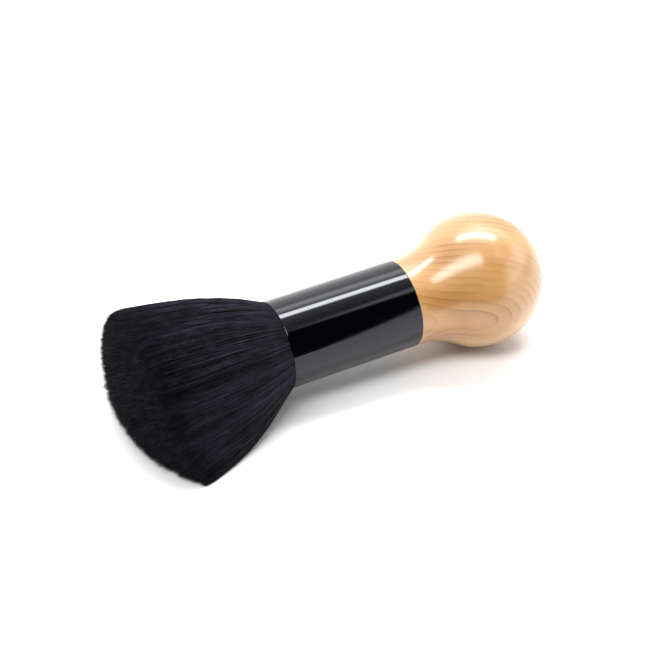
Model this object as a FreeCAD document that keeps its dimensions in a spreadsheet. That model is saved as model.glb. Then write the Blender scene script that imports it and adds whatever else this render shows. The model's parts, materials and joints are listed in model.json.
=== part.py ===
"""A neck duster: a ball-ended wooden handle, a black ferrule and a flared tuft of soft hair.

The brush is drawn along X with the ferrule's mouth at the origin, its tuft on the -X side and
its handle on the +X side. It is then laid down as it rests on a table: the ball touches the
table, the axis slopes down towards the tuft, and the tuft is pressed flat underneath.
"""

import FreeCAD, Part
import math
import os

import Sketcher

os.makedirs("parts", exist_ok=True)
doc = FreeCAD.newDocument("neck_duster")
V = FreeCAD.Vector

# name: (value in millimetres unless it says otherwise, what it is)
DIMENSIONS = {
    "ball_radius": (24.85, "ball of the handle"),
    "ball_to_ferrule": (30.2, "ball's centre to the ferrule, along the axis"),
    "neck_radius": (15.8, "neck where it meets the ferrule"),
    "neck_hollow": (26.0, "radius of the hollow curve between ball and neck"),
    "tenon_length": (27.0, "tenon inside the ferrule"),
    "tenon_chamfer": (1.5, "bevel on the tenon's end"),
    "glue_gap": (0.2, "glue between the ferrule and what is inside it"),
    "groove_depth": (0.6, "glue grooves round the tenon"),
    "groove_width": (1.2, "glue grooves round the tenon"),
    "groove_pitch": (6.0, "from one glue groove to the next"),
    "groove_count": (3, "number of glue grooves"),
    "groove_start": (6.0, "ferrule's handle end to the first groove"),
    "ferrule_radius": (16.0, "outside of the ferrule"),
    "ferrule_wall": (0.8, "ferrule's sheet"),
    "ferrule_length": (50.0, "ferrule, end to end"),
    "ferrule_round": (0.35, "rounding of the ferrule's outer edges"),
    "cup_recess": (4.0, "ferrule's mouth to the knot cup's rim"),
    "cup_length": (18.0, "knot cup, rim to base"),
    "cup_wall": (0.9, "knot cup's side"),
    "cup_base": (1.4, "knot cup's base"),
    "root_radius": (12.6, "bound root of the hair"),
    "resin_depth": (8.0, "resin in the cup"),
    "resin_floor": (0.8, "resin under the root's end"),
    "twine_radius": (0.45, "binding twine"),
    "twine_pitch": (1.0, "from one turn of twine to the next"),
    "twine_turns": (4, "number of turns of twine"),
    "twine_start": (7.0, "ferrule's mouth to the first turn"),
    "mouth_hair_radius": (15.1, "hair where it leaves the ferrule"),
    "hair_bulge": (0.5, "how much the hair swells past the lip"),
    "rim_radius": (28.1, "tuft's rim, where it isn't pressed"),
    "rim_distance": (50.6, "ferrule's mouth to the tuft's rim"),
    "dome_radius": (59.8, "ferrule's mouth to the domed end of the tuft"),
    "rim_round": (4.0, "rounding of the tuft's rim"),
    "slump": (0.6, "share by which the low hair spreads as it leaves the mouth"),
    "spread_rate": (0.027, "more spread for each millimetre along the tuft"),
    "slump_start": (2.0, "distance over which that spread sets in"),
    "lie_angle": (3.5, "degrees by which the axis slopes down to the tuft"),
}

# The free hair opens quickly at the mouth and is nearly straight at the rim. The three terms of
# its opening, in powers of the way to the rim, add up to 1 there.
FLARE_TERMS = (2.0, -1.6, 0.6)
LOW_SIDE_POWER = 4  # how closely the spread keeps to the tuft's low side
SECTION_POINTS = 32
SECTION_DISTANCES = (0.5, 2.0, 5.0, 10.0, 18.0, 28.0, 38.0, 48.0)  # from the mouth, in millimetres
PAST_DOME = 2.0  # how far the loft runs past the dome that trims it, in millimetres
NEAR = 0.01  # lengths closer than this are the same, in millimetres


class Size:
    """A number together with the spreadsheet expression that gives it."""

    def __init__(self, value, text):
        self.value = value
        self.text = text

    def joined(self, other, sign, result):
        other_text = other.text if isinstance(other, Size) else str(other)
        return Size(result, f"({self.text} {sign} {other_text})")

    def __add__(self, other):
        return self.joined(other, "+", self.value + number(other))

    def __sub__(self, other):
        return self.joined(other, "-", self.value - number(other))

    def __mul__(self, other):
        return self.joined(other, "*", self.value * number(other))

    def __truediv__(self, other):
        return self.joined(other, "/", self.value / number(other))


def number(size):
    return size.value if isinstance(size, Size) else size


def root(size):
    return Size(math.sqrt(size.value), f"sqrt({size.text})")


def sine(angle):
    return Size(math.sin(math.radians(angle.value)), f"sin({angle.text} * 1 deg)")


def cosine(angle):
    return Size(math.cos(math.radians(angle.value)), f"cos({angle.text} * 1 deg)")


def make_sheet():
    """The driving dimensions: a name, a number and a note in each row."""
    sheet = doc.addObject("Spreadsheet::Sheet", "dims")
    for row, (alias, (value, note)) in enumerate(DIMENSIONS.items(), start=1):
        sheet.set(f"A{row}", alias)
        sheet.set(f"B{row}", str(value))
        sheet.setAlias(f"B{row}", alias)
        sheet.set(f"C{row}", note)
    doc.recompute()
    return sheet


def dim(alias):
    """A driving dimension, read back from its cell."""
    return Size(float(sheet.get(alias)), f"dims.{alias}")


sheet = make_sheet()

ball_radius = dim("ball_radius")
ferrule_length = dim("ferrule_length")
ferrule_radius = dim("ferrule_radius")
bore_radius = ferrule_radius - dim("ferrule_wall")
inner_radius = bore_radius - dim("glue_gap")
ball_x = ferrule_length + dim("ball_to_ferrule")
tenon_end_x = ferrule_length - dim("tenon_length")
cup_rim_x = dim("cup_recess")
cup_end_x = cup_rim_x + dim("cup_length")
cup_floor_x = cup_end_x - dim("cup_base")
cup_inside = inner_radius - dim("cup_wall")
root_end_x = cup_floor_x - dim("resin_floor")
axis = Size(0.0, "0")

# Laying the brush down: the ball touches the table and the outline is centred on X = 0.
lie_angle = dim("lie_angle")
rest_z = ball_radius - ball_x * sine(lie_angle)
rest_x = (dim("dome_radius") - ball_radius - ball_x * cosine(lie_angle)) / 2


def lay_down(piece):
    """Tilt a piece about the ferrule's mouth and set it down on the table."""
    piece.Placement = FreeCAD.Placement(V(0, 0, 0), FreeCAD.Rotation(V(0, -1, 0), 1))
    piece.setExpression("Placement.Rotation.Angle", lie_angle.text)
    piece.setExpression("Placement.Base.x", rest_x.text)
    piece.setExpression("Placement.Base.z", rest_z.text)


def make_body(label):
    body = doc.addObject("PartDesign::Body", label)
    body.Label = label
    lay_down(body)
    return body


def origin_part(body, role):
    return next(item for item in body.Origin.OriginFeatures if item.Role == role)


def make_sketch(body, name, plane):
    sketch = body.newObject("Sketcher::SketchObject", name)
    sketch.AttachmentSupport = [(origin_part(body, plane), "")]
    sketch.MapMode = "FlatFace"
    return sketch


def fix(sketch, kind, geometry, point, size):
    """Hold one coordinate of a point, by a dimension unless it lies on the axis."""
    if size.value == 0:
        on_line = -1 if kind == "DistanceY" else -2
        sketch.addConstraint(Sketcher.Constraint("PointOnObject", geometry, point, on_line))
        return
    index = sketch.addConstraint(Sketcher.Constraint(kind, geometry, point, size.value))
    sketch.setExpression(f"Constraints[{index}]", size.text)


def outline(sketch, corners, arcs=None):
    """A closed outline through (x, y) corners, with arcs in place of some of its sides.

    arcs maps a corner's number to (centre, radius, turn) of the arc that leaves that corner.
    The turn is "left" or "right", looking along the outline.
    """
    arcs = arcs or {}
    points = [V(x.value, y.value, 0) for x, y in corners]
    count = len(corners)
    for i, start in enumerate(points):
        end = points[(i + 1) % count]
        if i in arcs:
            centre, radius, turn = arcs[i]
            middle = V(centre[0].value, centre[1].value, 0)
            first, last = (start, end) if turn == "left" else (end, start)
            angles = [math.atan2(p.y - middle.y, p.x - middle.x) for p in (first, last)]
            circle = Part.Circle(middle, V(0, 0, 1), radius.value)
            sketch.addGeometry(Part.ArcOfCircle(circle, *angles))
        else:
            sketch.addGeometry(Part.LineSegment(start, end))

    def start_point(i):
        return 2 if i in arcs and arcs[i][2] == "right" else 1

    for i in range(count):
        after = (i + 1) % count
        joint = Sketcher.Constraint("Coincident", i, 3 - start_point(i), after, start_point(after))
        sketch.addConstraint(joint)
    for i, (x, y) in enumerate(corners):
        fix(sketch, "DistanceX", i, start_point(i), x)
        fix(sketch, "DistanceY", i, start_point(i), y)
    for i, (_, radius, _) in arcs.items():
        index = sketch.addConstraint(Sketcher.Constraint("Radius", i, radius.value))
        sketch.setExpression(f"Constraints[{index}]", radius.text)


def turn(body, name, corners, arcs=None, kind="PartDesign::Revolution"):
    """Turn an outline of (x, radius) corners about the brush's axis, adding or cutting."""
    sketch = make_sketch(body, f"{name}_outline", "XZ_Plane")
    outline(sketch, corners, arcs)
    turned = body.newObject(kind, name)
    turned.Profile = sketch
    turned.ReferenceAxis = (sketch, ["H_Axis"])
    turned.Angle = 360
    body.Tip = turned
    doc.recompute()
    return turned


def block(x_start, x_end, y_low, y_high):
    """The four corners of a rectangle in an outline."""
    return [(x_start, y_low), (x_end, y_low), (x_end, y_high), (x_start, y_high)]


def repeat_along(body, name, feature):
    """Repeat a glue groove, or the glue that fills it, along the tenon."""
    pattern = body.newObject("PartDesign::LinearPattern", name)
    pattern.Originals = [feature]
    pattern.Direction = (origin_part(body, "X_Axis"), [""])
    pattern.Reversed = True
    pattern.setExpression("Length", (dim("groove_pitch") * (dim("groove_count") - 1)).text)
    pattern.setExpression("Occurrences", dim("groove_count").text)
    body.Tip = pattern
    doc.recompute()


def groove_block():
    """Outline of the glue groove that is nearest to the handle."""
    middle = ferrule_length - dim("groove_start")
    half = dim("groove_width") / 2
    floor = inner_radius - dim("groove_depth")
    return block(middle - half, middle + half, floor, inner_radius)


def make_wood_handle():
    """Ball, hollow neck and tenon, turned in one piece."""
    neck = dim("neck_radius")
    hollow = dim("neck_hollow")
    reach = ball_radius + hollow
    hollow_height = neck + hollow
    hollow_x = ball_x - root(reach * reach - hollow_height * hollow_height)
    touch_x = ball_x - (ball_x - hollow_x) * ball_radius / reach
    touch_height = hollow_height * ball_radius / reach
    chamfer = dim("tenon_chamfer")
    corners = [
        (ball_x + ball_radius, axis),
        (touch_x, touch_height),
        (hollow_x, neck),
        (ferrule_length, neck),
        (ferrule_length, inner_radius),
        (tenon_end_x + chamfer, inner_radius),
        (tenon_end_x, inner_radius - chamfer),
        (tenon_end_x, axis),
    ]
    arcs = {
        0: ((ball_x, axis), ball_radius, "left"),
        1: ((hollow_x, hollow_height), hollow, "right"),
    }
    body = make_body("wood_handle")
    turned = turn(body, "handle_turning", corners, arcs)
    before = turned.Shape.Volume
    groove = turn(body, "glue_groove", groove_block(), kind="PartDesign::Groove")
    repeat_along(body, "glue_grooves", groove)
    if body.Shape.Volume >= before:
        raise RuntimeError("the glue grooves cut nothing")


def make_handle_glue():
    """Glue between the tenon and the ferrule, with a rib in each of the tenon's grooves."""
    body = make_body("handle_glue")
    turn(body, "glue_sleeve", block(tenon_end_x, ferrule_length, inner_radius, bore_radius))
    rib = turn(body, "glue_rib", groove_block())
    repeat_along(body, "glue_ribs", rib)


def make_ferrule():
    """Thin tube with rounded outer edges."""
    body = make_body("ferrule")
    wall = turn(body, "ferrule_wall", block(axis, ferrule_length, bore_radius, ferrule_radius))
    outer_edges = [
        f"Edge{index}"
        for index, edge in enumerate(wall.Shape.Edges, start=1)
        if hasattr(edge.Curve, "Radius") and abs(edge.Curve.Radius - ferrule_radius.value) < NEAR
    ]
    rounded = body.newObject("PartDesign::Fillet", "ferrule_rounding")
    rounded.Base = (wall, outer_edges)
    rounded.setExpression("Radius", dim("ferrule_round").text)
    body.Tip = rounded


def make_knot_cup():
    """Cup that holds the bound root, open towards the tuft."""
    corners = [
        (cup_end_x, axis),
        (cup_end_x, inner_radius),
        (cup_rim_x, inner_radius),
        (cup_rim_x, cup_inside),
        (cup_floor_x, cup_inside),
        (cup_floor_x, axis),
    ]
    turn(make_body("knot_cup"), "cup_turning", corners)


def make_cup_glue():
    """Glue round the cup and in the gap between its base and the tenon."""
    corners = [
        (tenon_end_x, axis),
        (tenon_end_x, bore_radius),
        (cup_rim_x, bore_radius),
        (cup_rim_x, inner_radius),
        (cup_end_x, inner_radius),
        (cup_end_x, axis),
    ]
    turn(make_body("cup_glue"), "cup_glue_turning", corners)


def make_root_resin():
    """Resin in the bottom of the cup, round the root and under it."""
    resin_top_x = cup_floor_x - dim("resin_depth")
    corners = [
        (cup_floor_x, axis),
        (cup_floor_x, cup_inside),
        (resin_top_x, cup_inside),
        (resin_top_x, dim("root_radius")),
        (root_end_x, dim("root_radius")),
        (root_end_x, axis),
    ]
    turn(make_body("root_resin"), "resin_turning", corners)


def make_root_binding():
    """Twine wound round the root in a few close turns."""
    body = make_body("root_binding")
    sketch = make_sketch(body, "twine_section", "XZ_Plane")
    centre_height = dim("root_radius") + dim("twine_radius")
    middle = V(dim("twine_start").value, centre_height.value, 0)
    sketch.addGeometry(Part.Circle(middle, V(0, 0, 1), dim("twine_radius").value))
    fix(sketch, "DistanceX", 0, 3, dim("twine_start"))
    fix(sketch, "DistanceY", 0, 3, centre_height)
    index = sketch.addConstraint(Sketcher.Constraint("Radius", 0, dim("twine_radius").value))
    sketch.setExpression(f"Constraints[{index}]", dim("twine_radius").text)
    twine = body.newObject("PartDesign::AdditiveHelix", "twine_turning")
    twine.Profile = sketch
    twine.ReferenceAxis = (sketch, ["H_Axis"])
    twine.Mode = "pitch-turns-angle"
    twine.setExpression("Pitch", dim("twine_pitch").text)
    twine.setExpression("Turns", dim("twine_turns").text)
    body.Tip = twine


def make_hair_root():
    """Bound root of the hair, from the resin to where the tuft begins."""
    root_block = block(cup_rim_x, root_end_x, axis, dim("root_radius"))
    turn(make_body("hair_root"), "root_turning", root_block)


def flare(along):
    """How far the free hair has opened out, from 0 at the mouth to 1 at the rim."""
    return sum(term * along**power for power, term in enumerate(FLARE_TERMS, start=1))


def tuft_section(distance):
    """Closed section of the tuft at a distance from the mouth, before it is pressed flat.

    The section is a circle whose low side spreads sideways. It is measured from the top
    round to the bottom and back, and it hangs below the table until it is cut off there.
    """
    free_radius = dim("mouth_hair_radius").value + dim("hair_bulge").value
    opening = dim("rim_radius").value - free_radius
    radius = free_radius + opening * flare(distance / dim("rim_distance").value)
    settling = 1 - math.exp(-distance / dim("slump_start").value)
    spread = (dim("slump").value + dim("spread_rate").value * distance) * settling
    section = []
    for i in range(SECTION_POINTS):
        angle = 2 * math.pi * i / SECTION_POINTS
        lowness = (1 - math.cos(angle)) / 2
        sideways = radius * math.sin(angle) * (1 + spread * lowness**LOW_SIDE_POWER)
        section.append(V(-distance, sideways, radius * math.cos(angle)))
    return closed_curve(section)


def closed_curve(points):
    curve = Part.BSplineCurve()
    curve.interpolate(points, PeriodicFlag=True)
    return Part.Wire(curve.toShape())


def make_hair_tuft():
    """Flared head of the hair: trimmed to a dome, rounded at its rim and flat underneath.

    A collar joins it to the root inside the ferrule.
    """
    dome_radius = dim("dome_radius").value
    distances = [*SECTION_DISTANCES, dome_radius + PAST_DOME]
    flared = Part.makeLoft([tuft_section(distance) for distance in distances], True)
    tuft = flared.common(Part.makeSphere(dome_radius))
    tuft = rounded_rim(tuft, dome_radius)

    collar_length = cup_rim_x.value + distances[0]
    wide, narrow = dim("mouth_hair_radius").value, dim("root_radius").value
    collar = Part.makeCone(wide, narrow, collar_length, V(-distances[0], 0, 0), V(1, 0, 0))
    tuft = tuft.fuse(collar).removeSplitter()

    placement = FreeCAD.Placement(
        V(rest_x.value, 0, rest_z.value),
        FreeCAD.Rotation(V(0, -1, 0), lie_angle.value),
    )
    side = 4 * dome_radius  # a box that is larger than the whole tuft
    above_table = Part.makeBox(side, side, side, V(-side / 2, -side / 2, 0))
    above_table.Placement = placement.inverse()
    piece = doc.addObject("Part::Feature", "hair_tuft")
    piece.Label = "hair_tuft"
    piece.Shape = tuft.common(above_table)
    lay_down(piece)


def rounded_rim(tuft, dome_radius):
    """Round the edge between the tuft's side and its domed end."""
    rim = [
        edge
        for edge in tuft.Edges
        if all(abs(vertex.Point.Length - dome_radius) < NEAR for vertex in edge.Vertexes)
        and edge.CenterOfMass.x < -dome_radius / 2
    ]
    return tuft.makeFillet(dim("rim_round").value, rim)


def check_document():
    """Stop if any object failed, or any piece has no sound shape."""
    doc.recompute()
    for item in doc.Objects:
        if {"Invalid", "Error"} & set(item.State):
            raise RuntimeError(f"{item.Name} failed: {item.State}")


def write_pieces():
    pieces = [o for o in doc.Objects if o.isDerivedFrom("PartDesign::Body") or o.TypeId == "Part::Feature"]
    for piece in pieces:
        shape = piece.Shape
        if shape.isNull() or not shape.isValid() or not shape.Solids:
            raise RuntimeError(f"{piece.Label} has no sound shape")
        print(f"{piece.Label}: {shape.Volume:.0f} mm3, {len(shape.Solids)} solid")
        shape.exportStep(f"parts/{piece.Label}.step")


make_wood_handle()
make_handle_glue()
make_ferrule()
make_knot_cup()
make_cup_glue()
make_root_resin()
make_root_binding()
make_hair_root()
make_hair_tuft()
check_document()
write_pieces()
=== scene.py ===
import json
import math

import bpy
import numpy as np
from mathutils import Matrix, Vector


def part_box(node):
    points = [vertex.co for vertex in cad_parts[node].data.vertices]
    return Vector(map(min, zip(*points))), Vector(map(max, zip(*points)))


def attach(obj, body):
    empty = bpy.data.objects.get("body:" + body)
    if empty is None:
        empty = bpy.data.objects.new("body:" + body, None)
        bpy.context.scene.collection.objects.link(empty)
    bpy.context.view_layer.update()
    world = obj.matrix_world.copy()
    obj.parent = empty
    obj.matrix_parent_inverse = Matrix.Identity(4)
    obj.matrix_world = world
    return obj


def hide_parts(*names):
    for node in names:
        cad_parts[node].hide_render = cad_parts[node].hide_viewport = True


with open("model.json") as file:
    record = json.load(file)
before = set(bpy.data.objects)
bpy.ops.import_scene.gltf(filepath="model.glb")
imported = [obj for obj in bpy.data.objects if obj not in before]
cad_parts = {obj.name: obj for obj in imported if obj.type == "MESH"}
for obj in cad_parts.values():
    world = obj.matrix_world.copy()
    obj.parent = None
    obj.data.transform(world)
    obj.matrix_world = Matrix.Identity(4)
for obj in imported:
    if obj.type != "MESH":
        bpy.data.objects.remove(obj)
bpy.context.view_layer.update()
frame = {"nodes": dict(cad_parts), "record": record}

MM = 0.001
TURN = 2 * math.pi
rng = np.random.default_rng(7)

# --- The brush's own axis, read from the mount that names its ferrule -------------------------

clip = next(m for m in frame["record"]["mounts"] if m["name"] == "ferrule_clip")
to_handle = np.array(clip["axis"], float)
to_handle /= np.linalg.norm(to_handle)
to_tuft = -to_handle
sideways = np.array([0.0, 1.0, 0.0])
upward = np.cross(to_handle, sideways)
ferrule_length = clip["dims"]["length_mm"] * MM
mouth = np.array(clip["pos_m"]) + to_tuft * ferrule_length / 2
drop_per_metre = -to_tuft[2]

ball_low, ball_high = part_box("wood_handle")
ball_radius = (ball_high.y - ball_low.y) / 2
ball_centre = Vector((ball_high.x - ball_radius, 0.0, ball_high.z - ball_radius))

# --- The tuft's shape: its CAD solid's, but it settles on the table more slowly ---------------

FREE_RADIUS = 15.6 * MM
BORE_RADIUS = 15.0 * MM
BORE_BLEND = 1.2 * MM
RIM_RADIUS = 28.1 * MM
RIM_DISTANCE = 50.6 * MM
DOME_RADIUS = 59.8 * MM
# Terms of the cubic by which the radius grows from the mouth to the rim.
FLARE_TERMS = (2.0, -1.6, 0.6)
# How much wider the low side is: a fixed part, and more with each metre past the mouth.
SLUMP = 0.6
SPREAD_RATE = 27.0
SETTLE_DISTANCE = 7 * MM
LOW_SIDE_POWER = 4

# How the dome is trimmed: soft at its rim, short on top and long at its low corners.
RIM_ROUNDING_TOP = 0.7 * MM
RIM_ROUNDING_LOW = 0.5 * MM
LOW_CORNERS_LONG = 2.0 * MM
FAR_CORNER_LONG = 2.2 * MM
TOP_SHORT = 0.8 * MM


def envelope(distance, angle):
    """Sideways and upward place of the tuft's surface, past the mouth by a distance.

    The angle is 0 on top of the tuft and pi underneath. The section is a circle whose low side
    spreads sideways, and which lies flat where it meets the table.
    """
    along = np.clip(distance / RIM_DISTANCE, 0, 1.25)
    flare = sum(term * along**power for power, term in enumerate(FLARE_TERMS, start=1))
    radius = FREE_RADIUS + (RIM_RADIUS - FREE_RADIUS) * flare
    inside = np.clip(-distance / BORE_BLEND, 0, 1)
    radius = radius + (BORE_RADIUS - FREE_RADIUS) * inside
    outside = np.maximum(distance, 0)
    settling = 1 - np.exp(-outside / SETTLE_DISTANCE)
    spread = (SLUMP + SPREAD_RATE * outside) * settling
    across = radius * np.sin(angle) * (1 + spread * lowness(angle) ** LOW_SIDE_POWER)
    table = -(mouth[2] - drop_per_metre * distance) / upward[2]
    up = np.maximum(radius * np.cos(angle), table)
    return across, up


def in_row(distance, across, up):
    """A point near the tuft, from the brush's own directions to the row frame."""
    return mouth + distance[..., None] * to_tuft + across[..., None] * sideways + up[..., None] * upward


def lowness(angle):
    """0 on top of the tuft, 1 underneath."""
    return (1 - np.cos(angle)) / 2


def reach(share, angle, distance_in):
    """How far from the mouth's middle a hair ends.

    The share is the hair's place in the bundle, from 0 in the middle to 1 outside, and
    distance_in is how deep under the tuft's side it lies.
    """
    rounding = RIM_ROUNDING_TOP + (RIM_ROUNDING_LOW - RIM_ROUNDING_TOP) * lowness(angle)
    into_rim = np.clip(rounding - distance_in, 0, rounding)
    rounded = rounding - np.sqrt(rounding**2 - into_rim**2)
    far_side = np.maximum(np.sin(angle), 0)
    low_corners = (LOW_CORNERS_LONG * np.abs(np.sin(angle)) + FAR_CORNER_LONG * far_side) * lowness(angle)
    uneven = low_corners - TOP_SHORT * (1 - lowness(angle)) ** 2
    return DOME_RADIUS + uneven * share**2 - rounded


def end_distance(share, angle, length):
    """Distance along the axis at which a hair's path is a given length from the mouth's middle.

    It is found by halving, because the tuft's surface has no simple inverse.
    """
    low = np.zeros_like(angle)
    high = np.full_like(angle, DOME_RADIUS * 1.1)
    for _ in range(18):
        middle = (low + high) / 2
        across, up = envelope(middle, angle)
        far = np.sqrt(middle**2 + (share * across) ** 2 + (share * up) ** 2)
        low = np.where(far < length, middle, low)
        high = np.where(far < length, high, middle)
    return (low + high) / 2


def lay_on_table(points, clearance):
    """Press the points of a soft piece up to the table where they would go through it."""
    points[..., 2] = np.maximum(points[..., 2], clearance)
    return points


# --- Meshes -----------------------------------------------------------------------------------

STRAND_SIDES = 3
TIP_WIDTH_PART = 0.55
TINY = 1e-12


def mesh_object(name, vertices, loops, sizes, material, values=None):
    """An object from flat arrays: corner lists of faces that may differ in their side count."""
    mesh = bpy.data.meshes.new(name)
    mesh.vertices.add(len(vertices))
    mesh.vertices.foreach_set("co", np.ascontiguousarray(vertices, np.float32).ravel())
    mesh.loops.add(len(loops))
    mesh.loops.foreach_set("vertex_index", loops.astype(np.int32))
    mesh.polygons.add(len(sizes))
    starts = np.concatenate([[0], np.cumsum(sizes)[:-1]]).astype(np.int32)
    mesh.polygons.foreach_set("loop_start", starts)
    mesh.polygons.foreach_set("use_smooth", np.ones(len(sizes), bool))
    mesh.update(calc_edges=True)
    if values is not None:
        attribute = mesh.attributes.new("strand", "FLOAT", "POINT")
        attribute.data.foreach_set("value", values.astype(np.float32))
    mesh.materials.append(material)
    piece = bpy.data.objects.new(name, mesh)
    bpy.context.scene.collection.objects.link(piece)
    return piece


def strand_points(paths, thickness):
    """Rings of corners round each path, and a point at its tip, as strand by corner by axis."""
    count, rings, _ = paths.shape
    tangent = np.gradient(paths, axis=1)
    tangent /= np.linalg.norm(tangent, axis=2, keepdims=True) + TINY
    hint = rng.normal(size=(count, 1, 3))
    normal = np.cross(tangent, hint)
    normal /= np.linalg.norm(normal, axis=2, keepdims=True) + TINY
    binormal = np.cross(tangent, normal)
    along = np.linspace(0, 1, rings)
    taper = np.sqrt(np.clip(1 - along**6, 0, 1)) * (1 - (1 - TIP_WIDTH_PART) * along)
    width = thickness[:, None, None] / 2 * taper[None, :-1, None]
    corners = []
    for side in range(STRAND_SIDES):
        turn = TURN * side / STRAND_SIDES
        offset = normal[:, :-1] * math.cos(turn) + binormal[:, :-1] * math.sin(turn)
        corners.append(paths[:, :-1] + offset * width)
    ring_points = np.stack(corners, axis=2).reshape(count, -1, 3)
    return np.concatenate([ring_points, paths[:, -1:]], axis=1)


def strand_faces(rings):
    """Faces of one strand: its sides, its pointed tip, and the cap at its root."""
    faces = []
    for ring in range(rings - 2):
        first = STRAND_SIDES * ring
        following = first + STRAND_SIDES
        for side in range(STRAND_SIDES):
            beside = (side + 1) % STRAND_SIDES
            faces.append((first + side, first + beside, following + beside, following + side))
    last = STRAND_SIDES * (rings - 2)
    tip = last + STRAND_SIDES
    for side in range(STRAND_SIDES):
        faces.append((last + side, last + (side + 1) % STRAND_SIDES, tip))
    faces.append(tuple(reversed(range(STRAND_SIDES))))
    return faces


def strand_mesh(name, paths, thickness, tone, material):
    """Tapered strands along paths, an array of strand by point by coordinate."""
    count, rings, _ = paths.shape
    points = strand_points(paths, thickness)
    per_strand = points.shape[1]
    faces = strand_faces(rings)
    pattern = np.array([corner for face in faces for corner in face])
    sizes = np.array([len(face) for face in faces])
    loops = pattern[None, :] + per_strand * np.arange(count)[:, None]
    values = np.repeat(tone, per_strand)
    return mesh_object(name, points.reshape(-1, 3), loops.ravel(), np.tile(sizes, count), material, values)


# --- Materials --------------------------------------------------------------------------------


class Painter:
    """A procedural material, with short ways to add and join its nodes."""

    def __init__(self, name, **shader):
        self.material = bpy.data.materials.new(name)
        self.material.use_nodes = True
        self.tree = self.material.node_tree
        self.shader = self.tree.nodes["Principled BSDF"]
        for socket, value in shader.items():
            self.shader.inputs[socket.replace("_", " ")].default_value = value

    def node(self, kind, inputs=None, **settings):
        made = self.tree.nodes.new(kind)
        for key, value in settings.items():
            setattr(made, key, value)
        for key, value in (inputs or {}).items():
            socket = made.inputs[key]
            if isinstance(value, bpy.types.NodeSocket):
                self.tree.links.new(value, socket)
            else:
                socket.default_value = value
        return made

    def place(self, turn=(0, 0, 0), shift=(0, 0, 0), scale=(1, 1, 1)):
        """The object's coordinates, in metres, moved, turned and stretched."""
        where = self.node("ShaderNodeTexCoord").outputs["Object"]
        moved = self.node("ShaderNodeVectorMath", {0: where, 1: shift}, operation="SUBTRACT")
        made = self.node(
            "ShaderNodeMapping", {"Vector": moved.outputs[0], "Rotation": turn, "Scale": scale}
        )
        return made.outputs["Vector"]

    def noise(self, vector, scale, detail=2.0, roughness=0.5):
        made = self.node(
            "ShaderNodeTexNoise",
            {"Vector": vector, "Scale": scale, "Detail": detail, "Roughness": roughness},
        )
        return made.outputs["Fac"]

    def noise_along(self, value, scale, row=0.0):
        """Noise that changes with one number only; each row is a different noise."""
        place = self.node("ShaderNodeCombineXYZ", {"X": value, "Y": row}).outputs[0]
        return self.noise(place, scale, 1.0)

    def math(self, operation, first, second=0.0, third=0.0):
        made = self.node("ShaderNodeMath", {0: first, 1: second, 2: third}, operation=operation)
        return made.outputs[0]

    def hypotenuse(self, first, second):
        squares = (self.math("MULTIPLY", value, value) for value in (first, second))
        return self.math("SQRT", self.math("ADD", *squares))

    def ramp(self, factor, *stops):
        """A colour ramp through (place, colour) stops; a number stands for a grey."""
        made = self.node("ShaderNodeValToRGB", {"Fac": factor})
        elements = made.color_ramp.elements
        while len(elements) < len(stops):
            elements.new(0.5)
        for element, (position, colour) in zip(elements, stops):
            element.position = position
            element.color = (colour,) * 3 + (1,) if isinstance(colour, (int, float)) else (*colour, 1)
        return made.outputs["Color"]

    def mix(self, factor, first, second):
        """From the first colour to the second as the factor goes from 0 to 1."""
        made = self.node("ShaderNodeMix", data_type="RGBA")
        for socket, value in zip((made.inputs[0], made.inputs[6], made.inputs[7]), (factor, first, second)):
            if isinstance(value, bpy.types.NodeSocket):
                self.tree.links.new(value, socket)
            else:
                socket.default_value = (*value, 1)
        return made.outputs[2]

    def bump(self, height, distance, strength=1.0):
        made = self.node(
            "ShaderNodeBump", {"Height": height, "Distance": distance, "Strength": strength}
        )
        self.tree.links.new(made.outputs["Normal"], self.shader.inputs["Normal"])

    def wire(self, output, socket):
        self.tree.links.new(output, self.shader.inputs[socket])


# The plank that the handle was turned from: how it lay in the tree, and its colours.
OUT_FROM_PITH = Vector((-0.60, -1.0, -0.10)).normalized()
PITH_DISTANCE = 35 * MM
RINGS_PER_METRE = 400
RING_SPACING_UNEVEN = 0.9
RING_WANDER = 4 * MM
PALE_WOOD = (0.59, 0.325, 0.112)
WARM_WOOD = (0.44, 0.205, 0.050)
RING_LINE = (0.27, 0.11, 0.03)
FIBRE = (0.36, 0.175, 0.055)


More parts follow.
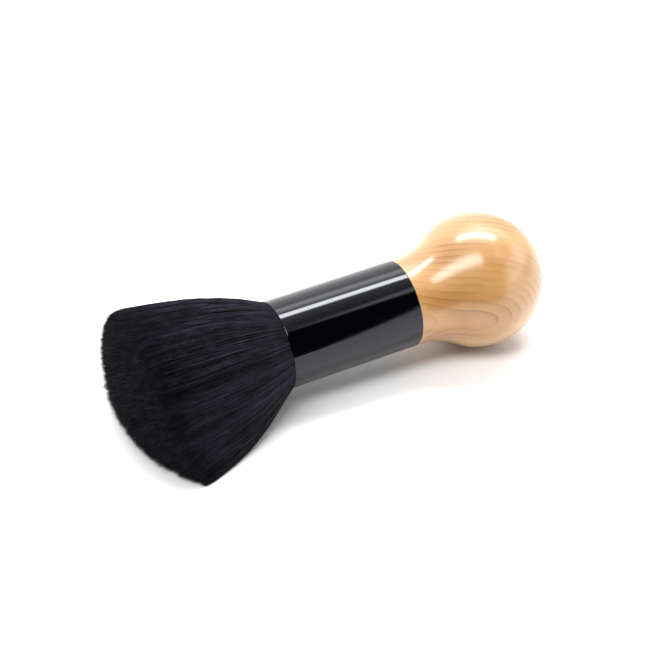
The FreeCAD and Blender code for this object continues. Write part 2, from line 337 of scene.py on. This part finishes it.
def wood_material():
    """Pale cherry under satin lacquer: growth rings, soft warm patches and fine fibres."""
    paint = Painter("pale_wood", Roughness=0.42, Coat_Weight=1.0, Coat_Roughness=0.19, Coat_IOR=1.58)
    grain = Vector((1, 0, 0)) - OUT_FROM_PITH * OUT_FROM_PITH.x
    grain.normalize()
    turn = Matrix((grain, grain.cross(OUT_FROM_PITH), OUT_FROM_PITH)).to_euler()
    pith = ball_centre + OUT_FROM_PITH * PITH_DISTANCE

    def wood_noise(stretch, scale, detail, roughness=0.5):
        """Noise drawn out along the grain; a smaller stretch number is a longer fleck."""
        place = paint.place(turn=turn, shift=pith, scale=(stretch, 1, 1))
        return paint.noise(place, scale, detail, roughness)

    plank = paint.node("ShaderNodeSeparateXYZ", {"Vector": paint.place(turn=turn, shift=pith)}).outputs
    from_pith = paint.hypotenuse(plank["Y"], plank["Z"])
    years = paint.math("MULTIPLY_ADD", wood_noise(0.5, 26, 2.0), RING_WANDER, from_pith)
    uneven = paint.noise_along(years, 160)
    zones = paint.noise_along(years, 110, row=1.0)
    counted = paint.math("MULTIPLY", years, RINGS_PER_METRE)
    ring = paint.math("FRACT", paint.math("MULTIPLY_ADD", uneven, RING_SPACING_UNEVEN, counted))

    line = paint.ramp(ring, (0.0, 0.0), (0.45, 0.10), (0.80, 0.45), (0.92, 0.9), (1.0, 0.0))
    patchy = paint.ramp(wood_noise(0.25, 110, 1.0), (0.35, 0.10), (0.65, 1.0))
    line = paint.math("MULTIPLY", line, patchy)
    line = paint.math("MULTIPLY", line, paint.ramp(zones, (0.35, 0.6), (0.65, 1.3)))
    fibre = wood_noise(0.06, 1500, 3.0, 0.6)
    clouds = wood_noise(0.35, 60, 2.0)

    warmth = paint.math("MULTIPLY_ADD", clouds, 0.5, paint.ramp(zones, (0.35, 0.0), (0.65, 0.5)))
    ringed = paint.mix(line, paint.mix(warmth, PALE_WOOD, WARM_WOOD), RING_LINE)
    colour = paint.mix(paint.ramp(fibre, (0.35, 0.0), (0.75, 0.30)), ringed, FIBRE)
    paint.wire(colour, "Base Color")
    paint.wire(paint.ramp(fibre, (0.3, 0.36), (0.7, 0.5)), "Roughness")
    paint.bump(fibre, 0.03 * MM, 0.35)
    return paint.material


def black_gloss_material():
    """Black lacquer on thin metal: mirror smooth, with faint ripple and a trace of handling."""
    paint = Painter("black_gloss", Base_Color=(0.0006, 0.0006, 0.0012, 1), IOR=1.5)
    paint.shader.inputs["Specular Tint"].default_value = (0.88, 0.90, 1.0, 1)
    wipe = paint.noise(paint.place(scale=(0.25, 1, 1)), 900, 3.0, 0.6)
    paint.wire(paint.ramp(wipe, (0.3, 0.035), (0.8, 0.075)), "Roughness")
    ripple = paint.noise(paint.place(), 140, 1.0)
    paint.bump(ripple, 0.012 * MM, 0.5)
    return paint.material


# Greys of the darkest, middle and lightest hairs, and how much bluer than grey they are.
HAIR_TONES = ((0.15, 0.0003), (0.50, 0.0045), (0.95, 0.030))
HAIR_BLUENESS = 1.5


def hair_material(name="black_hair", level=1.0):
    """Soft black hair: each strand differs a little in depth of colour and in sheen, and its tone also
    carries painted shade on deep hairs and painted highlights on a few.
    """
    paint = Painter(name, IOR=1.45, Specular_IOR_Level=0.10)
    strand = paint.node("ShaderNodeAttribute", attribute_name="strand").outputs["Fac"]
    patches = paint.noise(paint.place(), 260, 2.0)
    tone = paint.math("MULTIPLY_ADD", patches, 0.45, paint.math("MULTIPLY", strand, 0.75))
    tones = [(at, (grey * level, grey * level, grey * level * HAIR_BLUENESS)) for at, grey in HAIR_TONES]
    paint.wire(paint.ramp(tone, *tones), "Base Color")
    paint.wire(paint.ramp(strand, (0.0, 0.45), (1.0, 0.60)), "Roughness")
    return paint.material


def core_material():
    """Depth of the tuft between the hairs: almost no light comes back from it."""
    paint = Painter("tuft_depth", Roughness=0.9, Specular_IOR_Level=0.1)
    fibres = paint.noise(paint.place(scale=(0.08, 1, 1)), 2600, 2.0)
    paint.wire(paint.ramp(fibres, (0.35, 0.002), (0.7, 0.012)), "Base Color")
    paint.bump(fibres, 0.3 * MM, 0.8)
    return paint.material


def speckled(name, light, dark, scale, rough, bump_height):
    """A plain moulded, cast or spun stuff with a fine uneven grain."""
    paint = Painter(name)
    grain = paint.noise(paint.place(), scale, 3.0, 0.6)
    paint.wire(paint.mix(grain, light, dark), "Base Color")
    paint.wire(paint.ramp(grain, (0.3, rough[0]), (0.7, rough[1])), "Roughness")
    paint.bump(grain, bump_height, 0.4)
    return paint.material


def glue_material():
    return speckled("set_glue", (0.80, 0.74, 0.55), (0.68, 0.60, 0.40), 700, (0.45, 0.65), 0.04 * MM)


def cup_material():
    return speckled("moulded_cup", (0.84, 0.84, 0.81), (0.76, 0.76, 0.72), 1800, (0.5, 0.65), 0.02 * MM)


def resin_material():
    return speckled("cast_resin", (0.58, 0.36, 0.14), (0.46, 0.26, 0.08), 350, (0.12, 0.3), 0.02 * MM)


def twine_material():
    return speckled("waxed_twine", (0.80, 0.74, 0.60), (0.62, 0.55, 0.40), 2600, (0.55, 0.8), 0.08 * MM)


def paint_node(node, material):
    """Give a carried-over CAD node its material."""
    shown = frame["nodes"][node]
    shown.data.materials.clear()
    shown.data.materials.append(material)
    for polygon in shown.data.polygons:
        polygon.material_index = 0


def paint_cad_nodes():
    glue = glue_material()
    paint_node("wood_handle", wood_material())
    paint_node("ferrule", black_gloss_material())
    paint_node("hair_root", hair_material("bound_hair", 1.5))
    paint_node("handle_glue", glue)
    paint_node("cup_glue", glue)
    paint_node("knot_cup", cup_material())
    paint_node("root_resin", resin_material())
    paint_node("root_binding", twine_material())


# --- The tuft ---------------------------------------------------------------------------------

# Side hairs gather into wisps, and wisps lean toward locks. Angles are round the tuft's axis.
ROOT_DISTANCE = -1.5 * MM
LOCKS = 90
WISPS = 380
LOCK_DRAW = 0.30
LOCK_STRAY = 0.022
WISP_STRAY = 0.026
HAIR_STRAY = 0.004
WISP_SWAY = 0.014
WISP_RISE = 0.40 * MM
STANDS_PROUD = 0.6 * MM
HAIR_SUNK = 1.1 * MM
WISP_SUNK = 0.45 * MM
LOCK_SUNK = 0.38 * MM
LOCK_EDGE_SUNK = 0.45 * MM
TRIM_SHORT = 0.2 * MM
TRIM_UNEVEN = 0.28 * MM
TOP_RAGGED = 1.2 * MM
SHORT_HAIRS = 0.30
SHORT_HAIR_STRAY = 6
SHORT_HAIR_BY = 7 * MM
# Share of the side hairs given a lighter tone as painted highlights.
SIDE_HAIRS_PAINTED_HIGHLIGHT = 0.05

# The hairs whose ends fill the dome gather into small bunches.
BUNCHES = 2000
BUNCH_UNEVEN = 0.8 * MM
END_SHORT = 0.4 * MM
END_UNEVEN = 0.45 * MM
OUTERMOST_END = 0.985
# Share of the end hairs given a lighter tone as painted highlights.
END_HAIRS_PAINTED_HIGHLIGHT = 0.22


def perimeter_angles(count):
    """Angles round the tuft, spread evenly along its outline rather than evenly in angle."""
    sample = np.linspace(-math.pi, math.pi, 721)
    across, up = envelope(np.full_like(sample, RIM_DISTANCE * 0.8), sample)
    step = np.hypot(np.diff(across), np.diff(up))
    length = np.concatenate([[0], np.cumsum(step)])
    return np.interp(rng.random(count) * length[-1], length, sample)


def hair_paths(angle, share, start, end, rings, wobble):
    """Paths of hairs that keep their share of the way out from the tuft's middle."""
    travel = np.linspace(0, 1, rings)[None, :] ** 0.85
    distance = start[:, None] + (end - start)[:, None] * travel
    across, up = envelope(distance, angle)
    phase = rng.random((2, len(start), 1)) * TURN
    swing = wobble * travel * np.sin(phase[0] + travel * 5)
    lift = wobble * travel * np.sin(phase[1] + travel * 4)
    return in_row(distance, across * share + swing, up * share + lift)


def nearest_lock(centres, angle):
    """Which of the sorted lock angles is nearest, and the offset from it in half lock widths."""
    right = np.clip(np.searchsorted(centres, angle), 1, len(centres) - 1)
    left = right - 1
    nearest = np.where(angle - centres[left] < centres[right] - angle, left, right)
    half_width = np.pi / len(centres)
    return nearest, (angle - centres[nearest]) / half_width


def side_hair(count, rings=8):
    """Long hairs over the tuft's side, drawn into fine wisps, and those into broader locks."""
    lock_angle = np.sort(perimeter_angles(LOCKS))
    wisp_angle = np.sort(perimeter_angles(WISPS))
    angle = perimeter_angles(count)
    wisp, _ = nearest_lock(wisp_angle, angle)
    lock, off = nearest_lock(lock_angle, wisp_angle)
    travel = np.linspace(0, 1, rings)[None, :]

    # Sideways: hairs close up into wisps, let go again at their tips, and sway together.
    drawn = (0.55 + 0.4 * rng.random(count))[:, None] * travel**0.6
    drawn *= 1 - (0.7 + 0.25 * lowness(angle))[:, None] * travel**8
    stray = rng.normal(0, WISP_STRAY, WISPS)[wisp] + rng.normal(0, LOCK_STRAY, LOCKS)[lock][wisp]
    short = rng.random(count) < SHORT_HAIRS
    stray += rng.normal(0, HAIR_STRAY, count) * np.where(short, SHORT_HAIR_STRAY, 1)
    phase = rng.random((2, WISPS, 1)) * TURN
    pace = rng.uniform(4, 10, (WISPS, 1))
    sway = WISP_SWAY * travel * np.sin(phase[0] + pace * travel)
    angles = angle[:, None] + (wisp_angle[wisp] - angle)[:, None] * drawn
    angles += (lock_angle[lock] - wisp_angle)[wisp][:, None] * LOCK_DRAW * travel
    angles += stray[:, None] * travel**1.3 + sway[wisp]

    # In and out: a lock's edges lie deeper than its middle, and wisps rise and fall.
    edge = (np.minimum(np.abs(off), 1.5) ** 2 * LOCK_EDGE_SUNK)[wisp]
    lock_depth = np.abs(rng.normal(0, LOCK_SUNK, LOCKS))[lock][wisp]
    wisp_depth = np.abs(rng.normal(0, WISP_SUNK, WISPS))[wisp]
    depth = rng.random(count) ** 1.5 * HAIR_SUNK + edge + lock_depth + wisp_depth
    outer = np.hypot(*envelope(np.full(count, RIM_DISTANCE), angle))
    share_end = 1 + (STANDS_PROUD - depth) / outer

    # Lengths: trimmed with the dome, less evenly on top, and the short hairs well inside it.
    length = reach(share_end, angle, depth) + rng.normal(-TRIM_SHORT, TRIM_UNEVEN, count)
    length -= (rng.random(WISPS) * TOP_RAGGED)[wisp] * (1 - lowness(angle))
    length -= short * rng.random(count) * SHORT_HAIR_BY
    share_end = np.where(short, 1 + (rng.random(count) - 0.3) * MM / outer, share_end)
    end = end_distance(share_end, angle, length)
    start = np.full(count, ROOT_DISTANCE)
    share = 1 + (share_end - 1)[:, None] * (0.15 + 0.85 * travel**0.6)
    rise = WISP_RISE * np.sin(phase[1] + pace * travel)
    share += rise[wisp] * np.sin(math.pi * travel) / outer[:, None]

    # Tones: alike within a wisp, with painted shade that darkens a hair the deeper it lies, and painted
    # highlights on a few hairs.
    tone = 0.55 * rng.random(WISPS)[wisp] ** 1.3 + 0.45 * rng.random(count) + 0.28 - 0.22 * depth / MM
    tone += short * 0.10 + (rng.random(count) < SIDE_HAIRS_PAINTED_HIGHLIGHT) * 0.5
    return hair_paths(angles, share, start, end, rings, 0.10 * MM), np.clip(tone, 0, 1)


def end_hair(count, rings=4):
    """Ends of the hairs that fill the tuft's domed front, gathered into small bunches."""
    angle = perimeter_angles(count)
    share_end = np.sqrt(rng.random(count)) * OUTERMOST_END
    bunch_angle = perimeter_angles(BUNCHES)
    bunch_share = np.sqrt(rng.random(BUNCHES))
    flat = on_disc(angle, share_end)
    bunch_flat = on_disc(bunch_angle, bunch_share)
    nearest = nearest_of(flat, bunch_flat)
    drawing = (0.25 + 0.5 * rng.random(count)) * (1 - 0.7 * share_end**8)
    drawn = flat + (bunch_flat[nearest] - flat) * drawing[:, None]
    drawn_angle = np.arctan2(drawn[:, 0], drawn[:, 1])
    drawn_share = np.clip(np.hypot(drawn[:, 0], drawn[:, 1]), 0, OUTERMOST_END)

    across, up = envelope(np.full(count, RIM_DISTANCE), angle)
    depth = (1 - drawn_share) * np.hypot(across, up)
    bunch_reach = rng.normal(0, BUNCH_UNEVEN, BUNCHES)[nearest] * (1 - 0.95 * drawn_share**4)
    length = reach(drawn_share, drawn_angle, depth) + bunch_reach
    length += rng.normal(-END_SHORT, END_UNEVEN, count)
    end = end_distance(drawn_share, drawn_angle, length)
    start = end - rng.uniform(9, 13, count) * MM
    blend = np.linspace(0, 1, rings)[None, :]
    turn = np.angle(np.exp(1j * (drawn_angle - angle)))
    angles = angle[:, None] + turn[:, None] * blend
    share = share_end[:, None] + (drawn_share - share_end)[:, None] * blend

    # Tones: alike within a bunch, a little lighter at the rim, and painted highlights on a share of the
    # hairs.
    tone = 0.50 * rng.random(BUNCHES)[nearest] ** 1.5 + 0.15 * rng.random(count) + 0.12 * drawn_share**6
    tone += (rng.random(count) < END_HAIRS_PAINTED_HIGHLIGHT) * rng.uniform(0.4, 0.85, count)
    return hair_paths(angles, share, start, end, rings, 0.45 * MM), tone


def on_disc(angle, share):
    """Places on a disc of radius 1, a flat map of the tuft's front."""
    return np.stack([share * np.sin(angle), share * np.cos(angle)], 1)


def nearest_of(points, centres, at_once=2000):
    """For each point, which of the centres is nearest, worked out some points at a time."""
    found = np.empty(len(points), int)
    for begin in range(0, len(points), at_once):
        part = points[begin : begin + at_once]
        gap = ((part[:, None, :] - centres[None, :, :]) ** 2).sum(2)
        found[begin : begin + at_once] = gap.argmin(1)
    return found


def stray_hair(count, rings=6):
    """A few loose hairs that stand out past the tuft's outline."""
    start_share = 0.97
    angle = perimeter_angles(count)
    share_end = 1 + rng.random(count) * 0.025
    length = np.full(count, DOME_RADIUS) - rng.random(count) * 4 * MM
    end = end_distance(share_end, angle, length)
    start = end - rng.uniform(14, 22, count) * MM
    travel = np.linspace(0, 1, rings)[None, :]
    share = start_share + (share_end - start_share)[:, None] * travel
    angles = np.repeat(angle[:, None], rings, axis=1)
    return hair_paths(angles, share, start, end, rings, 0.5 * MM), rng.random(count)


def tuft_core(material):
    """Closed dark body under the loose hairs, with the tuft's own shape a little smaller."""
    around, side_rings, dome_rings = 96, 28, 10
    inset, short, root = 1.3 * MM, 2.2 * MM, -1.0 * MM
    angle = np.linspace(-math.pi, math.pi, around, endpoint=False)
    across, up = envelope(np.full(around, RIM_DISTANCE), angle)
    share_out = 1 - inset / np.hypot(across, up)
    end = end_distance(share_out, angle, reach(share_out, angle, np.zeros(around)) - short)
    rows = []
    for k in range(side_rings):
        distance = root + (end - root) * k / (side_rings - 1)
        across, up = envelope(distance, angle)
        rows.append(in_row(distance, across * share_out, up * share_out))
    for k in range(1, dome_rings):
        share = share_out * (1 - k / dome_rings)
        depth = (1 - share) * RIM_RADIUS
        distance = end_distance(share, angle, reach(share, angle, depth) - short)
        across, up = envelope(distance, angle)
        rows.append(in_row(distance, across * share, up * share))
    front = mouth + to_tuft * (DOME_RADIUS - short)
    back = mouth + to_tuft * root
    points = lay_on_table(np.concatenate([*rows, [front], [back]]), 0.1 * MM)
    faces = closed_rings(around, len(rows))
    loops = np.array([corner for face in faces for corner in face])
    sizes = np.array([len(face) for face in faces])
    return mesh_object("tuft_core", points, loops, sizes, material)


def closed_rings(around, ring_count):
    """Faces between rings of points, closed by one point in front and one at the back."""
    front = ring_count * around
    back = front + 1
    last = front - around
    beside = [(i, (i + 1) % around) for i in range(around)]
    faces = []
    for first in range(0, last, around):
        for i, j in beside:
            faces.append((first + i, first + j, first + around + j, first + around + i))
    for i, j in beside:
        faces.append((last + i, last + j, front))
        faces.append((j, i, back))
    return faces


def make_tuft():
    """The tuft's core and its hairs, in pieces small enough to keep whole."""
    hair = hair_material()
    thin = 1
    pieces = [tuft_core(core_material())]
    # The kind of hair, how it grows, and each piece's number of hairs and their width.
    batches = (
        [("side", side_hair, 4000, 0.23 * MM)] * 4
        + [("end", end_hair, 6500, 0.25 * MM)] * 4
        + [("stray", stray_hair, 500, 0.12 * MM)]
    )
    for number, (kind, grow, count, width) in enumerate(batches, start=1):
        paths, tone = grow(count // thin)
        paths = lay_on_table(paths, 0.12 * MM)
        thickness = width * rng.uniform(0.75, 1.25, count // thin)
        pieces.append(strand_mesh(f"tuft_{kind}_hair_{number}", paths, thickness, tone, hair))
    for piece in pieces:
        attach(piece, "root")
        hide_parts("hair_tuft")


# --- The room ---------------------------------------------------------------------------------

CAMERA_AZIMUTH = math.radians(-26.6)
CAMERA_ELEVATION = math.radians(34.0)
CAMERA_DISTANCE = 0.5957
CAMERA_AIM = Vector((-0.0012, -0.0020, 0.0200))
LENS = 91.6

# The camera's directions along the table.
RIGHT = Vector((math.cos(CAMERA_AZIMUTH), math.sin(CAMERA_AZIMUTH), 0))
FORWARD = Vector((-math.sin(CAMERA_AZIMUTH), math.cos(CAMERA_AZIMUTH), 0))
UP = Vector((0, 0, 1))

TABLE_FRONT = 0.19
TABLE_REST = 2.5

# Light of the room by angle, in degrees: 0 is the horizon in front, 90 overhead, 180 behind.
ROOM_LIGHT = (
    (-180, 1.8), (-90, 0.5), (-60, 0.01), (66, 0.01), (72, 0.3), (75, 0.5), (81, 0.35),
    (93, 0.6), (104, 1.0), (114, 1.2), (118, 1.6), (150, 1.5), (170, 1.8),
)
# The room is dimmer past the ball's end of the brush.
DIM_FROM, DIM_TO, DIM_PART = 0.45, 0.75, 0.65


def make_camera():
    camera = bpy.data.objects.new("camera", bpy.data.cameras.new("camera"))
    bpy.context.scene.collection.objects.link(camera)
    back = FORWARD * -math.cos(CAMERA_ELEVATION) + UP * math.sin(CAMERA_ELEVATION)
    camera.location = CAMERA_AIM + back * CAMERA_DISTANCE
    camera.rotation_mode = "QUATERNION"
    camera.rotation_quaternion = (-back).to_track_quat("-Z", "Y")
    camera.data.sensor_width = 36
    camera.data.lens = LENS
    camera.data.clip_start = 0.01
    bpy.context.scene.camera = camera


def make_floor():
    """White table, its front edge square to the camera and a hand's length from the brush."""
    corners = [
        RIGHT * -TABLE_REST - FORWARD * TABLE_FRONT,
        RIGHT * TABLE_REST - FORWARD * TABLE_FRONT,
        RIGHT * TABLE_REST + FORWARD * TABLE_REST,
        RIGHT * -TABLE_REST + FORWARD * TABLE_REST,
    ]
    paint = Painter("white_table", Roughness=0.6)
    grain = paint.noise(paint.place(), 40, 2.0)
    paint.wire(paint.ramp(grain, (0.3, 0.85), (0.7, 0.87)), "Base Color")
    floor = mesh_object("table", np.array(corners), np.arange(4), np.array([4]), paint.material)


class Studio:
    """The room as light from all sides: broad bands, and panels with edges."""

    def __init__(self):
        world = bpy.data.worlds.new("studio")
        bpy.context.scene.world = world
        world.use_nodes = True
        self.tree = world.node_tree
        self.tree.nodes.clear()
        self.direction = self.tree.nodes.new("ShaderNodeTexCoord").outputs["Generated"]

    def node(self, kind, *inputs, **settings):
        made = self.tree.nodes.new(kind)
        for key, value in settings.items():
            setattr(made, key, value)
        for socket, value in zip(made.inputs, inputs):
            if isinstance(value, bpy.types.NodeSocket):
                self.tree.links.new(value, socket)
            else:
                socket.default_value = value
        return made

    def math(self, operation, *inputs):
        return self.node("ShaderNodeMath", *inputs, operation=operation).outputs[0]

    def along(self, axis):
        """How far the looked-in direction points along an axis."""
        made = self.node("ShaderNodeVectorMath", self.direction, tuple(axis), operation="DOT_PRODUCT")
        return made.outputs["Value"]

    def bands(self, front, levels):
        """Light that depends on the angle up from the front and over to the back, in degrees."""
        angle = self.math("ARCTAN2", self.along(UP), self.along(front))
        share = self.node("ShaderNodeMapRange", angle, -math.pi, math.pi, 0.0, 1.0).outputs[0]
        brightest = max(level for _, level in levels)
        ramp = self.node("ShaderNodeValToRGB", share)
        elements = ramp.color_ramp.elements
        while len(elements) < len(levels):
            elements.new(0.5)
        for element, (degrees, level) in zip(elements, levels):
            element.position = (degrees + 180) / 360
            element.color = (level / brightest,) * 3 + (1,)
        return self.math("MULTIPLY", ramp.outputs["Color"], brightest)

    def fading(self, light, axis, start, end, left):
        """Light that fades, toward an axis, to the part that is left of it."""
        fade = self.node("ShaderNodeMapRange", self.along(axis), start, end, 1.0, left)
        return self.math("MULTIPLY", light, fade.outputs[0])

    def panel(self, centre, along, half_length, half_width, level, softness=0.03):
        """Light of a rectangle that faces the brush, in tangents of its angles."""
        centre = centre.normalized()
        across = centre.cross(along).normalized()
        along = across.cross(centre)
        depth = self.along(centre)
        light = self.math("GREATER_THAN", depth, 0.05)
        light = self.math("MULTIPLY", light, level)
        for axis, half in ((along, half_length), (across, half_width)):
            offset = self.math("ABSOLUTE", self.math("DIVIDE", self.along(axis), depth))
            inside = self.node("ShaderNodeMapRange", offset, half + softness, half - softness, 0.0, 1.0)
            light = self.math("MULTIPLY", light, inside.outputs[0])
        return light


def overhead_strip(studio):
    """Long tube overhead: the white line along the ferrule and the ball's upper highlight."""
    return studio.panel(UP + FORWARD * 0.364, RIGHT, 0.46, 0.08, level=18.0)


def softbox_behind(studio):
    """Broad soft light over the far side of the table."""
    centre = UP * 0.77 + FORWARD * 0.60 + RIGHT * 0.30
    return studio.panel(centre, RIGHT, 0.40, 0.10, level=2.7, softness=0.08)


def lamp_front_left(studio):
    """Lamp over the tuft's end, which makes the slanting highlights on the neck and ball."""
    centre = RIGHT * -0.366 - FORWARD * 0.466 + UP * 0.806
    return studio.panel(centre, RIGHT + UP * 0.5, 0.55, 0.16, level=9.0)


def wall_right(studio):
    """Pale wall past the ball."""
    return studio.panel(RIGHT * 0.85 + UP * 0.42, FORWARD, 0.5, 0.22, level=2.1, softness=0.08)


def glow_right(studio):
    """Dim patch high on the right: the faint second line at the ferrule's handle end."""
    centre = RIGHT * 0.60 - FORWARD * 0.16 + UP * 0.80
    return studio.panel(centre, RIGHT, 0.17, 0.13, level=1.3, softness=0.025)


def card_front_right(studio):
    """White card in front, low on the right, mirrored in the lower side of the ferrule."""
    toward = Vector((0.643, -0.766, 0))
    beside = Vector((0.766, 0.643, 0))
    return studio.panel(toward, UP + beside * 0.15, 0.36, 0.35, level=1.6, softness=0.01)


def make_world():
    """Soft white studio: pale walls behind, lamps overhead, dark room in front.

    What the camera itself sees past the table is plain white.
    """
    studio = Studio()
    light = studio.fading(studio.bands(-FORWARD, ROOM_LIGHT), to_handle, DIM_FROM, DIM_TO, DIM_PART)
    lamps = (overhead_strip, softbox_behind, lamp_front_left, wall_right, glow_right, card_front_right)
    for lamp in lamps:
        light = studio.math("ADD", light, lamp(studio))
    room = studio.node("ShaderNodeBackground", (1, 1, 1, 1), light)
    seen = studio.node("ShaderNodeBackground", (1, 1, 1, 1), 1.0)
    camera_ray = studio.node("ShaderNodeLightPath").outputs["Is Camera Ray"]
    choice = studio.node("ShaderNodeMixShader", camera_ray, room.outputs[0], seen.outputs[0])
    studio.node("ShaderNodeOutputWorld", choice.outputs[0])


# --- The whole scene --------------------------------------------------------------------------

paint_cad_nodes()
make_tuft()
make_floor()
make_world()
make_camera()
bpy.context.scene.view_settings.view_transform = "Standard"
